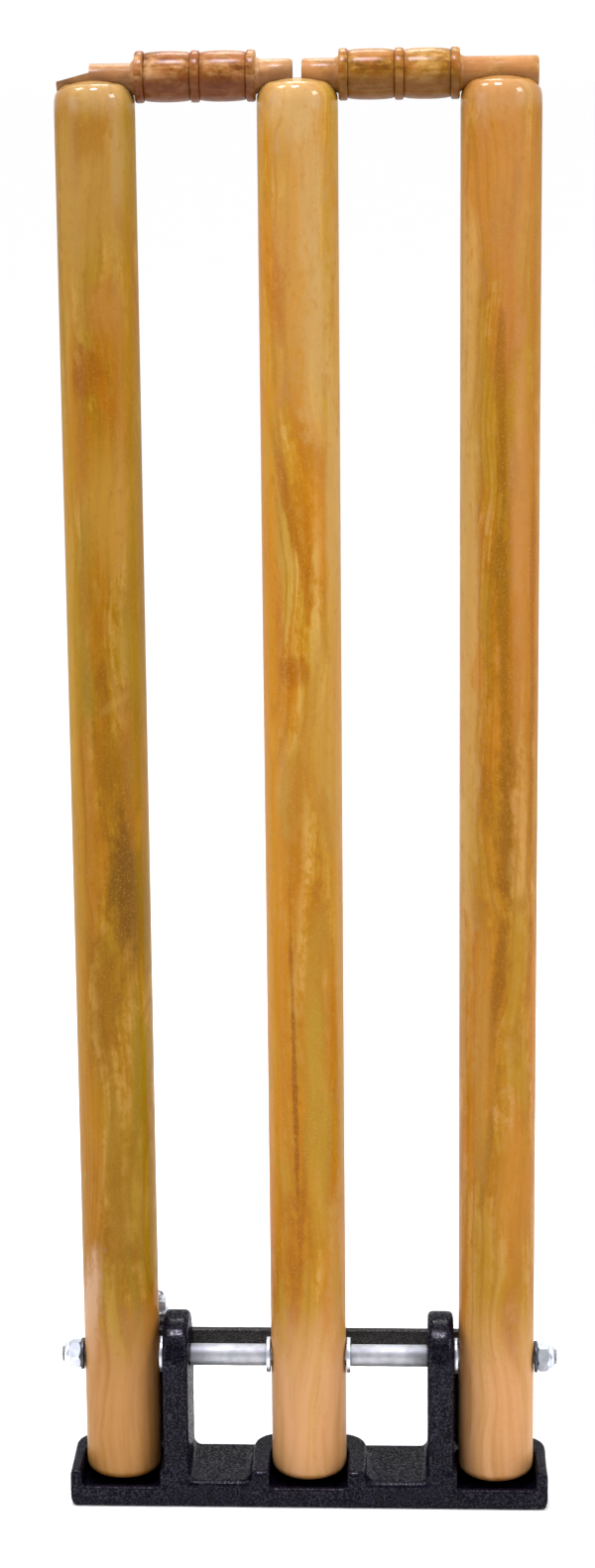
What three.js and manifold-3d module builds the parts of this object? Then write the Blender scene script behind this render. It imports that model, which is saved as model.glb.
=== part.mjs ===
// Spring-back cricket stumps. Three turned wooden stumps pivot on one axle in a heavy cast base,
// a coil spring behind each pulls it upright again, and two loose bails lie in the crown grooves.
// Millimetres. X runs along the wicket, Y away from the bowler and Z up.
// The origin is on the ground, straight below the middle stump's axis.

import * as THREE from 'three';
import { mergeVertices } from 'three/addons/utils/BufferGeometryUtils.js';
import Module from 'manifold-3d';

const wasm = await Module();
wasm.setup();

// Sizes of the whole wicket
const stumpDiameter = 38.1;
const stumpSpacing = 95.25;
const wicketHeight = 711;
const axleHeight = 73.3;
const axleDiameter = 8;

// Clearances that the pieces share
const fitGap = 0.3;
const cutOverrun = 5;

// Stump foot, crown and pivot
const footGap = 12;
const footRounding = 4.5;
const shoulderWidth = 6;
const shoulderHeight = 9.3;
const crownRise = 2.2;

// Bails, with the height of their axis over the crown
const spigotDiameter = 15.2;
const spigotRounding = 1.2;
const bailAxisLift = 0.5;
const barrelEndGap = 0.35;
const bailTipGap = 4.4;
const bailOuterInset = 1.8;
const ringDiameter = 24;
const ringWidth = 4.3;
const ringRounding = 0.8;
const barrelDiameter = 23.5;
const barrelNeck = 1.1;

// Cast base: a plate with a collar round the foot of each stump
const baseHalfDepth = 24.5;
const padHeight = 14;
const castRounding = 2;
const castStep = 0.4;
const collarHeight = 20;
const endCollarWall = 5.9;
const middleCollarWall = 9.1;
const endCornerRadius = 13.5;
const middleCornerRadius = 13;
const skirtWidth = 3.5;
const skirtHeight = 3.5;

// Pockets in the collars, open in front over a low sill
const pocketSideGap = 0.8;
const pocketFloor = 6.5;
const sillHeight = 11;
const sillDepth = 4;

// Ears that carry the axle
const earThickness = 13.1;
const earRadius = 22.8;
const earRounding = 2.2;
const earFootFillet = 4.8;
const earWebReach = 3.8;
const earWebThickness = 3.6;
const earWebDrop = 16;
const barSeatReach = 27;
const barSeatDrop = 20.5;
const barSeatRamp = 10;

// Axle hardware
const axleStickOut = 11.8;
const nutWidth = 13;
const nutHexHeight = 6;
const nutCollarHeight = 1.8;
const nutCollarWall = 1.4;
const nutChamfer = 1;
const nutWasherDiameter = 16;
const nutWasherThickness = 1.6;
const sideWasherDiameter = 18;
const sideWasherThickness = 2;
const tubeDiameter = 11;
const rimChamfer = 0.4;

// Stop bar behind the ears, its bolts and the lugs that hold the springs
const barThickness = 5;
const barHeight = 20;
const barOverhang = 15;
const barRise = 2.1;
const barBoltDiameter = 6;
const barBoltHeadWidth = 10;
const barBoltHeadHeight = 4;
const barBoltDepth = 15;
const barBoltTipGap = 1;
const barBoltHeightShare = 0.4;
const leftLugOffset = 13.1;
const otherLugOffset = 8.6;
const lugHalfWidth = 8.5;
const lugHeight = 12.5;
const lugRise = 4.2;
const lugReach = 18.5;
const lugRounding = 1;
const lugCornerRadius = 3;

// Spring anchors and springs
const eyeBoltOffset = 9.6;
const eyeBoltRingRadius = 5.2;
const eyeBoltWire = 4.4;
const eyeBoltTip = 0.8;
const screwEyeOffset = 8;
const screwEyeHeight = 30;
const screwEyeRingRadius = 4.2;
const screwEyeWire = 3;
const screwEyeGrip = 12;
const springWire = 1.8;
const springDiameter = 12;
const springCurls = 7;
const springLead = 1.6;

// How finely round forms are divided
const stumpSides = 40;
const bailSides = 24;
const hardwareSides = 16;
const eyeSteps = 14;
const smallSides = 8;
const arcSteps = 5;
const curlSteps = 8;
const wireSides = 5;

// Sizes that follow
const stumpRadius = stumpDiameter / 2;
const axleRadius = axleDiameter / 2;
const boreRadius = axleRadius + fitGap;
const spigotRadius = spigotDiameter / 2;
const bailAxisHeight = wicketHeight + bailAxisLift;
const stumpPlaces = [-stumpSpacing, 0, stumpSpacing];
const sideNames = ['left', 'middle', 'right'];
const pocketRadius = stumpRadius + pocketSideGap;
const pocketCentre = fitGap - pocketSideGap;
const endCollarHalfWidth = pocketRadius + endCollarWall;
const middleCollarHalfWidth = pocketRadius + middleCollarWall;
const baseHalfLength = stumpSpacing + endCollarHalfWidth;
const washerSlot = sideWasherThickness + 2 * fitGap;
const earOuter = stumpSpacing - stumpRadius - washerSlot;
const earInner = earOuter - earThickness;
const earMiddle = (earInner + earOuter) / 2;
const nutWasherPlace = stumpSpacing + stumpRadius + fitGap;
const nutPlace = nutWasherPlace + nutWasherThickness;
const nutHeight = nutHexHeight + nutCollarHeight;
const axleHalfLength = stumpSpacing + stumpRadius + axleStickOut;
const barFront = barSeatReach + fitGap;
const barBack = barFront + barThickness;
const barTop = axleHeight + barRise;
const barBottom = barTop - barHeight;
const barHalfLength = stumpSpacing + barOverhang;
const barBoltHeight = barBottom + barHeight * barBoltHeightShare;
const lugOffsets = [leftLugOffset, otherLugOffset, otherLugOffset];
const lugPlaces = stumpPlaces.map((place, i) => place + lugOffsets[i]);
const lugTop = barTop + lugRise;
const lugBottom = lugTop - lugHeight;
const eyeBoltPlace = barBack + eyeBoltOffset;
const eyeBoltRingHeight = lugBottom - fitGap - eyeBoltRingRadius - eyeBoltWire / 2;
const adjusterWasherPlace = lugTop;
const adjusterNutPlace = lugTop + nutWasherThickness;
const screwEyeRingReach = screwEyeRingRadius + screwEyeWire / 2 + fitGap;
const stumpBackAtEye = Math.sqrt(stumpRadius ** 2 - screwEyeOffset ** 2);
const screwEyePlace = stumpBackAtEye + screwEyeRingReach;

// Materials, in the colours of the object
const stumpWood = new THREE.MeshStandardMaterial({ color: 0xc99a5b, roughness: 0.35 });
const bailWood = new THREE.MeshStandardMaterial({ color: 0xa9765f, roughness: 0.4 });
const castIron = new THREE.MeshStandardMaterial({ color: 0x33333a, roughness: 0.45, metalness: 0.2 });
const plated = new THREE.MeshStandardMaterial({ color: 0xd9dce0, roughness: 0.25, metalness: 1 });
const darkSteel = new THREE.MeshStandardMaterial({ color: 0x55565a, roughness: 0.4, metalness: 1 });
const springSteel = new THREE.MeshStandardMaterial({ color: 0x9a9da3, roughness: 0.3, metalness: 1 });

// Joining and cutting

// A solid for joining and cutting, from a closed geometry whose shared corners are merged.
function solidOf(geometry) {
  const bare = geometry.clone();
  bare.deleteAttribute('normal');
  bare.deleteAttribute('uv');
  const merged = mergeVertices(bare);
  const index = merged.index.array;
  const triangles = [];
  for (let i = 0; i < index.length; i += 3) {
    const [a, b, c] = index.subarray(i, i + 3);
    if (a !== b && b !== c && c !== a) {
      triangles.push(a, b, c);
    }
  }
  return new wasm.Manifold(new wasm.Mesh({
    numProp: 3,
    vertProperties: new Float32Array(merged.attributes.position.array),
    triVerts: new Uint32Array(triangles),
  }));
}

// The geometry of a finished solid.
function geometryOf(solid) {
  const mesh = solid.getMesh();
  const geometry = new THREE.BufferGeometry();
  geometry.setAttribute('position', new THREE.BufferAttribute(mesh.vertProperties, 3));
  geometry.setIndex(new THREE.BufferAttribute(mesh.triVerts, 1));
  geometry.computeVertexNormals();
  return geometry;
}

// Shared forms

// A prism of a flat outline, from one height to another, with its rims rounded.
function prism(outline, start, end, rounding = 0, roundingSteps = 2) {
  const geometry = new THREE.ExtrudeGeometry(outline, {
    depth: end - start - 2 * rounding,
    bevelEnabled: rounding > 0,
    bevelThickness: rounding,
    bevelSize: rounding,
    bevelOffset: -rounding,
    bevelSegments: roundingSteps,
    curveSegments: arcSteps,
  });
  return geometry.translate(0, 0, start + rounding);
}

// Lays a prism along X, with its outline's first direction on Y and its second on Z.
function layAlongX(geometry) {
  const across = new THREE.Vector3(0, 1, 0);
  const up = new THREE.Vector3(0, 0, 1);
  const along = new THREE.Vector3(1, 0, 0);
  return geometry.applyMatrix4(new THREE.Matrix4().makeBasis(across, up, along));
}

// Lays a prism along Y, with its outline's first direction on X and its second on Z. It runs to -Y.
function layAlongY(geometry) {
  const across = new THREE.Vector3(1, 0, 0);
  const up = new THREE.Vector3(0, 0, 1);
  const along = new THREE.Vector3(0, -1, 0);
  return geometry.applyMatrix4(new THREE.Matrix4().makeBasis(across, up, along));
}

// A form turned round Z, from pairs of radius and height.
function turned(profile, sides) {
  const points = profile.map(([radius, height]) => new THREE.Vector2(radius, height));
  return new THREE.LatheGeometry(points, sides).rotateX(Math.PI / 2);
}

// A straight round bar along Z.
function bar(radius, start, end, sides = hardwareSides) {
  return turned([[0, start], [radius, start], [radius, end], [0, end]], sides);
}

// A flat ring or a tube along Z.
function ring(outerRadius, innerRadius, start, end) {
  return turned([
    [innerRadius, start],
    [outerRadius, start],
    [outerRadius, end],
    [innerRadius, end],
    [innerRadius, start],
  ], hardwareSides);
}

// Points of an arc of an ellipse, as pairs.
function arc(centre, radii, fromAngle, toAngle, steps) {
  const points = [];
  for (let i = 0; i <= steps; i += 1) {
    const angle = fromAngle + (toAngle - fromAngle) * i / steps;
    points.push([centre[0] + radii[0] * Math.cos(angle), centre[1] + radii[1] * Math.sin(angle)]);
  }
  return points;
}

// Stumps

// The stump's outline from foot to crown: rounded foot, straight shaft, sloped shoulder, low dome.
function stumpProfile() {
  const crownRadius = stumpRadius - shoulderWidth;
  const crownRim = wicketHeight - crownRise;
  const shoulder = crownRim - shoulderHeight;
  const domeRadius = (crownRadius ** 2 + crownRise ** 2) / (2 * crownRise);
  const domeCentre = wicketHeight - domeRadius;
  const domeEdge = Math.acos(crownRadius / domeRadius);
  const footCentre = [stumpRadius - footRounding, footGap + footRounding];
  return [
    [0, footGap],
    ...arc(footCentre, [footRounding, footRounding], -Math.PI / 2, 0, 4),
    ...arc([crownRadius, shoulder], [shoulderWidth, shoulderHeight], 0, Math.PI / 2, 6),
    ...arc([0, domeCentre], [domeRadius, domeRadius], domeEdge, Math.PI / 2, 3).slice(1, -1),
    [0, wicketHeight],
  ];
}

// One stump, with the bail groove across its crown, the pivot bore and the hole for the screw eye.
function stump() {
  const halfCut = stumpRadius + cutOverrun;
  const groove = bar(spigotRadius + fitGap, -halfCut, halfCut, stumpSides).rotateY(Math.PI / 2);
  groove.translate(0, 0, bailAxisHeight);
  const bore = bar(boreRadius, -halfCut, halfCut).rotateY(Math.PI / 2);
  bore.translate(0, 0, axleHeight);
  const pilot = bar(screwEyeWire / 2 + fitGap, 0, screwEyeGrip + cutOverrun, smallSides);
  pilot.rotateX(-Math.PI / 2);
  pilot.translate(screwEyeOffset, stumpBackAtEye - screwEyeGrip - fitGap, screwEyeHeight);
  const wood = solidOf(turned(stumpProfile(), stumpSides));
  return geometryOf(wood.subtract(solidOf(groove)).subtract(solidOf(bore)).subtract(solidOf(pilot)));
}

// Bails

// A bail lies along X. Its short spigot reaches into the middle stump's groove and its long spigot
// across the outer stump's, and its barrel hangs between them with a ring at each end and one between.
function bail() {
  const tip = bailTipGap / 2;
  const barrelStart = stumpRadius + barrelEndGap;
  const barrelEnd = stumpSpacing - stumpRadius - barrelEndGap;
  const outerTip = stumpSpacing + stumpRadius - bailOuterInset;
  const ringRadius = ringDiameter / 2;
  const neckRadius = barrelDiameter / 2 - barrelNeck;
  const swell = (barrelEnd - barrelStart - 3 * ringWidth) / 2;
  const profile = [
    [0, tip],
    [spigotRadius - spigotRounding, tip],
    [spigotRadius, tip + spigotRounding],
    [spigotRadius, barrelStart],
  ];
  for (let i = 0; i < 3; i += 1) {
    const start = barrelStart + i * (ringWidth + swell);
    profile.push(
      [ringRadius - ringRounding, start],
      [ringRadius, start + ringRounding],
      [ringRadius, start + ringWidth - ringRounding],
      [ringRadius - ringRounding, start + ringWidth],
    );
    if (i < 2) {
      const middle = start + ringWidth + swell / 2;
      const bulge = arc([neckRadius, middle], [barrelNeck, swell / 2], -Math.PI / 2, Math.PI / 2, 6);
      profile.push(...bulge);
    }
  }
  profile.push(
    [spigotRadius, barrelEnd],
    [spigotRadius, outerTip - spigotRounding],
    [spigotRadius - spigotRounding, outerTip],
    [0, outerTip],
  );
  return turned(profile, bailSides).rotateY(Math.PI / 2);
}

// Cast base

// The outline of a collar or of the plate: straight in front, rounded at the two rear corners.
function roundedBack(halfWidth, front, back, cornerRadius) {
  const outline = new THREE.Shape();
  outline.moveTo(-halfWidth, -front);
  outline.lineTo(halfWidth, -front);
  outline.absarc(halfWidth - cornerRadius, back - cornerRadius, cornerRadius, 0, Math.PI / 2);
  outline.absarc(cornerRadius - halfWidth, back - cornerRadius, cornerRadius, Math.PI / 2, Math.PI);
  outline.closePath();
  return outline;
}

// The outline of a pocket: a half circle behind, straight sides to the front.
function pocketOutline(front) {
  const outline = new THREE.Shape();
  outline.moveTo(-pocketRadius, -front);
  outline.lineTo(pocketRadius, -front);
  outline.absarc(0, pocketCentre, pocketRadius, 0, Math.PI / 2);
  outline.absarc(0, pocketCentre, pocketRadius, Math.PI / 2, Math.PI);
  outline.closePath();
  return outline;
}

// A pocket swings the foot of its stump clear over the sill, down to the pocket's floor.
function pocket() {
  const top = collarHeight + cutOverrun;
  const well = prism(pocketOutline(baseHalfDepth - sillDepth), pocketFloor, top);
  const mouth = prism(pocketOutline(baseHalfDepth + cutOverrun), sillHeight, top);
  return solidOf(well).add(solidOf(mouth));
}

// An ear seen from the side: upright front, round top about the axle, and a flat seat for the bar.
function earOutline() {
  const front = baseHalfDepth - castStep;
  const seatTop = barTop + fitGap;
  const seatBottom = barTop - barSeatDrop;
  const topAngle = Math.asin((seatTop + castRounding - axleHeight) / earRadius);
  const outline = new THREE.Shape();
  outline.moveTo(-front, castRounding);
  outline.lineTo(front, castRounding);
  outline.lineTo(front, seatBottom - barSeatRamp);
  outline.lineTo(barSeatReach, seatBottom);
  outline.lineTo(barSeatReach, seatTop);
  outline.absarc(0, axleHeight, earRadius, topAngle, Math.PI / 2);
  outline.absarc(0, axleHeight, earRadius, Math.PI / 2, Math.PI);
  outline.closePath();
  return outline;
}

// The hollow fillet between an ear's inner side and the plate, on the ear's -X side.
function earFillet() {
  const radius = earFootFillet;
  const outline = new THREE.Shape();
  outline.moveTo(castRounding, -castRounding);
  outline.lineTo(castRounding, radius);
  outline.lineTo(0, radius);
  outline.absarc(-radius, radius, radius, 0, -Math.PI / 2, true);
  outline.lineTo(-radius, -castRounding);
  outline.closePath();
  const halfRun = baseHalfDepth - castRounding - castStep;
  return layAlongY(prism(outline, -halfRun, halfRun));
}

// The web that stiffens an ear at its back, on its outer side, up to below the stop bar.
function earWeb(side) {
  const inside = side * (earOuter - earRounding);
  const outside = side * (earOuter + earWebReach);
  const back = baseHalfDepth - castStep;
  const outline = new THREE.Shape();
  outline.moveTo(inside, back - earWebThickness);
  outline.lineTo(outside, back - earWebThickness);
  outline.lineTo(outside, back);
  outline.lineTo(inside, back);
  outline.closePath();
  return prism(outline, padHeight - castRounding, axleHeight - earWebDrop, castRounding / 2);
}

// The whole casting.
function baseCasting() {
  const collarFront = baseHalfDepth + castStep;
  const plate = roundedBack(baseHalfLength - castStep, baseHalfDepth, baseHalfDepth, endCornerRadius);
  let body = solidOf(prism(plate, 0, padHeight, castRounding));
  for (const place of stumpPlaces) {
    const middle = place === 0;
    const halfWidth = middle ? middleCollarHalfWidth : endCollarHalfWidth;
    const corner = middle ? middleCornerRadius : endCornerRadius;
    const outline = roundedBack(halfWidth, collarFront, collarFront, corner);
    const collar = prism(outline, castRounding, collarHeight, castRounding).translate(place, 0, 0);
    body = body.add(solidOf(collar));
  }
  const skirtHalfWidth = middleCollarHalfWidth + skirtWidth;
  const skirtFront = collarFront - castRounding;
  const skirt = roundedBack(skirtHalfWidth, skirtFront, skirtFront, middleCornerRadius + skirtWidth);
  body = body.add(solidOf(prism(skirt, castRounding * 2, padHeight + skirtHeight, skirtHeight, 1)));
  for (const side of [-1, 1]) {
    const ear = layAlongX(prism(earOutline(), -earThickness / 2, earThickness / 2, earRounding));
    ear.translate(side * earMiddle, 0, 0);
    const fillet = earFillet().rotateZ(side < 0 ? Math.PI : 0);
    fillet.translate(side * earInner, 0, padHeight);
    body = body.add(solidOf(ear)).add(solidOf(fillet)).add(solidOf(earWeb(side)));
  }
  for (const place of stumpPlaces) {
    body = body.subtract(pocket().translate([place, 0, 0]));
  }
  const reach = earOuter + cutOverrun;
  const bore = bar(boreRadius, -reach, reach).rotateY(Math.PI / 2).translate(0, 0, axleHeight);
  body = body.subtract(solidOf(bore));
  for (const side of [-1, 1]) {
    const hole = bar(barBoltDiameter / 2 + fitGap, 0, barBoltDepth + cutOverrun, smallSides);
    hole.rotateX(-Math.PI / 2);
    hole.translate(side * earMiddle, barSeatReach - barBoltDepth, barBoltHeight);
    body = body.subtract(solidOf(hole));
  }
  return geometryOf(body);
}

// Axle hardware

// A plain rod with eased ends. It lies along X.
function axle() {
  const end = axleHalfLength;
  return turned([
    [0, -end],
    [axleRadius - rimChamfer, -end],
    [axleRadius, rimChamfer - end],
    [axleRadius, end - rimChamfer],
    [axleRadius - rimChamfer, end],
    [0, end],
  ], hardwareSides).rotateY(Math.PI / 2);
}

// A six-sided outline, measured across its flats.
function hexagon(width) {
  const corner = width / Math.sqrt(3);
  const points = arc([0, 0], [corner, corner], 0, Math.PI * 5 / 3, 5);
  return new THREE.Shape(points.map(([x, y]) => new THREE.Vector2(x, y)));
}

// A hexagon with both rims chamfered by turning, from z = 0 up.
function hexBlock(width, height) {
  const corner = width / Math.sqrt(3) + fitGap;
  const face = width / 2 - rimChamfer;
  const turning = turned([
    [0, 0],
    [face, 0],
    [corner, nutChamfer],
    [corner, height - nutChamfer],
    [face, height],
    [0, height],
  ], hardwareSides);
  return solidOf(prism(hexagon(width), -cutOverrun, height + cutOverrun)).intersect(solidOf(turning));
}

// A lock nut: a hexagon, the low collar that holds its ring, and the bore.
function lockNut() {
  const collarRadius = nutWidth / 2 - nutCollarWall / 2;
  const collar = turned([
    [0, nutHexHeight - nutChamfer],
    [collarRadius, nutHexHeight - nutChamfer],
    [collarRadius, nutHeight - nutCollarWall / 2],
    [collarRadius - nutCollarWall / 2, nutHeight],
    [0, nutHeight],
  ], hardwareSides);
  const bore = bar(boreRadius, -cutOverrun, nutHeight + cutOverrun);
  return geometryOf(hexBlock(nutWidth, nutHexHeight).add(solidOf(collar)).subtract(solidOf(bore)));
}

// Stop bar

// The flat bar that the stumps lean back on, with a lug behind each stump for its spring.
function stopBar() {
  const flat = new THREE.Shape();
  flat.moveTo(barFront, barBottom);
  flat.lineTo(barBack, barBottom);
  flat.lineTo(barBack, barTop);
  flat.lineTo(barFront, barTop);
  flat.closePath();
  let body = solidOf(layAlongX(prism(flat, -barHalfLength, barHalfLength)));
  const lugOutline = roundedBack(lugHalfWidth, 0, lugReach, lugCornerRadius);
  for (const place of lugPlaces) {
    const lug = prism(lugOutline, lugBottom, lugTop, lugRounding, 1);
    lug.translate(place, barFront + barThickness / 2, 0);
    body = body.add(solidOf(lug));
  }
  for (const place of lugPlaces) {
    const hole = bar(boreRadius, lugBottom - cutOverrun, lugTop + cutOverrun);
    hole.translate(place, eyeBoltPlace, 0);
    body = body.subtract(solidOf(hole));
  }
  for (const side of [-1, 1]) {
    const hole = bar(barBoltDiameter / 2 + fitGap, -cutOverrun, barThickness + cutOverrun, smallSides);
    hole.rotateX(-Math.PI / 2).translate(side * earMiddle, barFront, barBoltHeight);
    body = body.subtract(solidOf(hole));
  }
  return geometryOf(body);
}

// A hexagon bolt that holds the bar to an ear. Its head is behind and its tip points to -Y.
function barBolt() {
  const shank = bar(barBoltDiameter / 2, barBoltTipGap - barBoltDepth - fitGap, nutChamfer, smallSides);
  const bolt = hexBlock(barBoltHeadWidth, barBoltHeadHeight).translate([0, 0, barThickness]);
  const neck = bar(barBoltDiameter / 2, 0, barThickness + nutChamfer, smallSides);
  return geometryOf(bolt.add(solidOf(shank)).add(solidOf(neck))).rotateX(-Math.PI / 2);
}

// Springs and what they hook on

// The eye bolt hangs in its lug. Its eye is open along X.
function eyeBolt() {
  const eye = new THREE.TorusGeometry(eyeBoltRingRadius, eyeBoltWire / 2, smallSides, eyeSteps);
  eye.rotateY(Math.PI / 2).translate(0, 0, eyeBoltRingHeight);
  const shankBottom = eyeBoltRingHeight + eyeBoltRingRadius;
  const shank = bar(axleRadius, shankBottom, adjusterNutPlace + nutHeight + eyeBoltTip);
  return geometryOf(solidOf(eye).add(solidOf(shank)));
}

// The screw eye in the back of a stump. Its eye is open along X and its shank points to -Y.
function screwEye() {
  const eye = new THREE.TorusGeometry(screwEyeRingRadius, screwEyeWire / 2, smallSides, eyeSteps);
  eye.rotateY(Math.PI / 2);
  const shankStart = screwEyeRingRadius;
  const shankEnd = screwEyeRingReach + screwEyeGrip;
  const shank = bar(screwEyeWire / 2, shankStart, shankEnd, smallSides).rotateX(Math.PI / 2);
  return geometryOf(solidOf(eye).add(solidOf(shank)));
}

// A tube of a few sides along a line of points, closed at both ends.
function wireAlong(points, radius) {
  const count = points.length;
  const positions = [];
  const index = [];
  let side = new THREE.Vector3(1, 0, 0);
  points.forEach((point, i) => {
    const before = points[Math.max(i - 1, 0)];
    const after = points[Math.min(i + 1, count - 1)];
    const ahead = after.clone().sub(before).normalize();
    side = side.clone().addScaledVector(ahead, -side.dot(ahead)).normalize();
    const up = ahead.clone().cross(side);
    for (let k = 0; k < wireSides; k += 1) {
      const angle = 2 * Math.PI * k / wireSides;
      const corner = point.clone();
      corner.addScaledVector(side, radius * Math.cos(angle));
      corner.addScaledVector(up, radius * Math.sin(angle));
      positions.push(corner.x, corner.y, corner.z);
    }
  });
  for (let i = 0; i < count - 1; i += 1) {
    for (let k = 0; k < wireSides; k += 1) {
      const a = i * wireSides + k;
      const b = i * wireSides + (k + 1) % wireSides;
      index.push(a, b, b + wireSides, a, b + wireSides, a + wireSides);
    }
  }
  const last = (count - 1) * wireSides;
  for (let k = 1; k < wireSides - 1; k += 1) {
    index.push(0, k + 1, k);
    index.push(last, last + k, last + k + 1);
  }
  const geometry = new THREE.BufferGeometry();
  geometry.setAttribute('position', new THREE.Float32BufferAttribute(positions, 3));
  geometry.setIndex(index);
  geometry.computeVertexNormals();
  return geometry;
}

// A hook in the XZ plane about a wire that crosses the origin, from its free end to its straight side.
function hookPoints(radius, side) {
  const points = [];
  const steps = 7;
  for (let i = 0; i <= steps; i += 1) {
    const angle = Math.PI * (-0.75 + 1.25 * i / steps);
    points.push(new THREE.Vector3(side * radius * Math.sin(angle), 0, -radius * Math.cos(angle)));
  }
  const straight = points[0].clone().sub(points[1]).setLength(springWire);
  points.unshift(points[0].clone().add(straight));
  return points;
}

// The spring's centre line from one hook to the other, between two wires `span` apart along Z.
function springPoints(span) {
  const lowHook = (screwEyeWire + springWire) / 2 + fitGap;
  const highHook = (eyeBoltWire + springWire) / 2 + fitGap;
  const coilStart = lowHook + springLead;
  const coilLength = span - lowHook - highHook - 2 * springLead;
  const coilRadius = (springDiameter - springWire) / 2;
  const side = springCurls % 2 ? -1 : 1;
  const coil = [];
  const steps = springCurls * curlSteps;
  for (let i = 0; i <= steps; i += 1) {
    const angle = 2 * Math.PI * (i / curlSteps - springCurls / 2);
    const height = coilStart + coilLength * i / steps;
    coil.push(new THREE.Vector3(coilRadius * Math.cos(angle), coilRadius * Math.sin(angle), height));
  }
  const low = hookPoints(lowHook, side);
  const high = hookPoints(highHook, side).map((p) => new THREE.Vector3(p.x, -p.y, span - p.z));
  return [...low, ...coil, ...high.reverse()];
}

// The least gap between any two stretches of a wire that aren't neighbours, measured on its points.
function leastGap(points, diameter) {
  let least = Infinity;
  points.forEach((point, i) => {
    let along = 0;
    for (let j = i + 1; j < points.length; j += 1) {
      along += points[j].distanceTo(points[j - 1]);
      if (along > Math.PI * diameter) {
        least = Math.min(least, point.distanceTo(points[j]) - diameter);
      }
    }
  });
  return least;
}

// A spring hooked from its screw eye up to its eye bolt. Both eyes stand in planes across X, so the
// pull within such a plane picks the point of each eye that the hook goes round.
function returnSpring(lugOffset) {
  const low = new THREE.Vector3(screwEyeOffset, screwEyePlace, screwEyeHeight);
  const high = new THREE.Vector3(lugOffset, eyeBoltPlace, eyeBoltRingHeight);
  const pull = new THREE.Vector3(0, high.y - low.y, high.z - low.z).normalize();
  const start = low.clone().addScaledVector(pull, screwEyeRingRadius);
  const end = high.clone().addScaledVector(pull, -eyeBoltRingRadius);
  const along = end.clone().sub(start).normalize();
  const across = new THREE.Vector3(1, 0, 0);
  across.addScaledVector(along, -across.dot(along)).normalize();
  const back = along.clone().cross(across);
  const frame = new THREE.Matrix4().makeBasis(across, back, along).setPosition(start);
  const points = springPoints(end.distanceTo(start));
  console.log(`least gap in a spring: ${leastGap(points, springWire).toFixed(2)} mm`);
  return wireAlong(points, springWire / 2).applyMatrix4(frame);
}

// Assembly

const wicket = new THREE.Group();

// Adds one named piece to a group.
function add(group, name, geometry, material, place = [0, 0, 0]) {
  const mesh = new THREE.Mesh(geometry, material);
  mesh.name = name;
  mesh.position.set(...place);
  group.add(mesh);
  return mesh;
}

add(wicket, 'base_casting', baseCasting(), castIron);
add(wicket, 'stop_bar', stopBar(), castIron);

const stumpGeometry = stump();
const screwEyeGeometry = screwEye();
const eyeBoltGeometry = eyeBolt();
const nutGeometry = lockNut();
const nutWasherGeometry = ring(nutWasherDiameter / 2, boreRadius, 0, nutWasherThickness);

// Each stump with the screw eye in its back, and the eye bolt, washer, nut and spring behind it.
stumpPlaces.forEach((place, i) => {
  const group = new THREE.Group();
  const side = sideNames[i];
  const lugOffset = lugOffsets[i];
  group.position.x = place;
  add(group, `stump_${side}`, stumpGeometry, stumpWood);
  add(group, `screw_eye_${side}`, screwEyeGeometry, plated, [screwEyeOffset, screwEyePlace, screwEyeHeight]);
  add(group, `eye_bolt_${side}`, eyeBoltGeometry, plated, [lugOffset, eyeBoltPlace, 0]);
  add(group, `adjuster_washer_${side}`, nutWasherGeometry, plated, [lugOffset, eyeBoltPlace, adjusterWasherPlace]);
  add(group, `adjuster_nut_${side}`, nutGeometry, plated, [lugOffset, eyeBoltPlace, adjusterNutPlace]);
  add(group, `return_spring_${side}`, returnSpring(lugOffset), springSteel);
  wicket.add(group);
});

// The axle, and on each half of it the nut, washers and spacer tube, in the order they slide on.
const axleLine = new THREE.Group();
axleLine.position.z = axleHeight;
wicket.add(axleLine);
add(axleLine, 'axle_rod', axle(), plated);
const sideWasherGeometry = ring(sideWasherDiameter / 2, boreRadius, 0, sideWasherThickness);
const tubeStart = stumpRadius + washerSlot;
const tubeGeometry = ring(tubeDiameter / 2, boreRadius, tubeStart, earInner - fitGap);
for (const [side, turn] of [['left', -1], ['right', 1]]) {
  const half = new THREE.Group();
  half.rotation.y = turn * Math.PI / 2;
  axleLine.add(half);
  add(half, `axle_nut_${side}`, nutGeometry, plated, [0, 0, nutPlace]);
  add(half, `nut_washer_${side}`, nutWasherGeometry, darkSteel, [0, 0, nutWasherPlace]);
  add(half, `ear_washer_${side}`, sideWasherGeometry, plated, [0, 0, earOuter + fitGap]);
  add(half, `centre_washer_${side}`, sideWasherGeometry, plated, [0, 0, stumpRadius + fitGap]);
  add(half, `spacer_tube_${side}`, tubeGeometry, plated);
  const boltPlace = [turn * earMiddle, barBack - barThickness, barBoltHeight];
  add(wicket, `bar_bolt_${side}`, barBolt(), darkSteel, boltPlace);
}

// The bails are alike, and one is turned end for end.
const bailGeometry = bail();
add(wicket, 'bail_right', bailGeometry, bailWood, [0, 0, bailAxisHeight]);
add(wicket, 'bail_left', bailGeometry, bailWood, [0, 0, bailAxisHeight]).rotation.z = Math.PI;

export default wicket;
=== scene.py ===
# %% [markdown]
# # A cricket wicket that springs back up
#
# Three varnished stumps stand in the pockets of one cast base, two turned bails lie across their
# crowns, and a plated axle carries the stumps so that each can tip back and spring up again. The
# solid model says how big each piece is and how it moves. This script gives every piece its finer
# shape and its finish, and lights and frames it as the photograph does.
#
# Each piece is made as it would be by hand in Blender: a primitive, then edit-mode tools, then
# modifiers that are applied. A piece keeps its place in its mesh, so its object stays at the origin.

# %% Load the frame
import math

import bpy
from mathutils import Matrix, Vector


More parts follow.
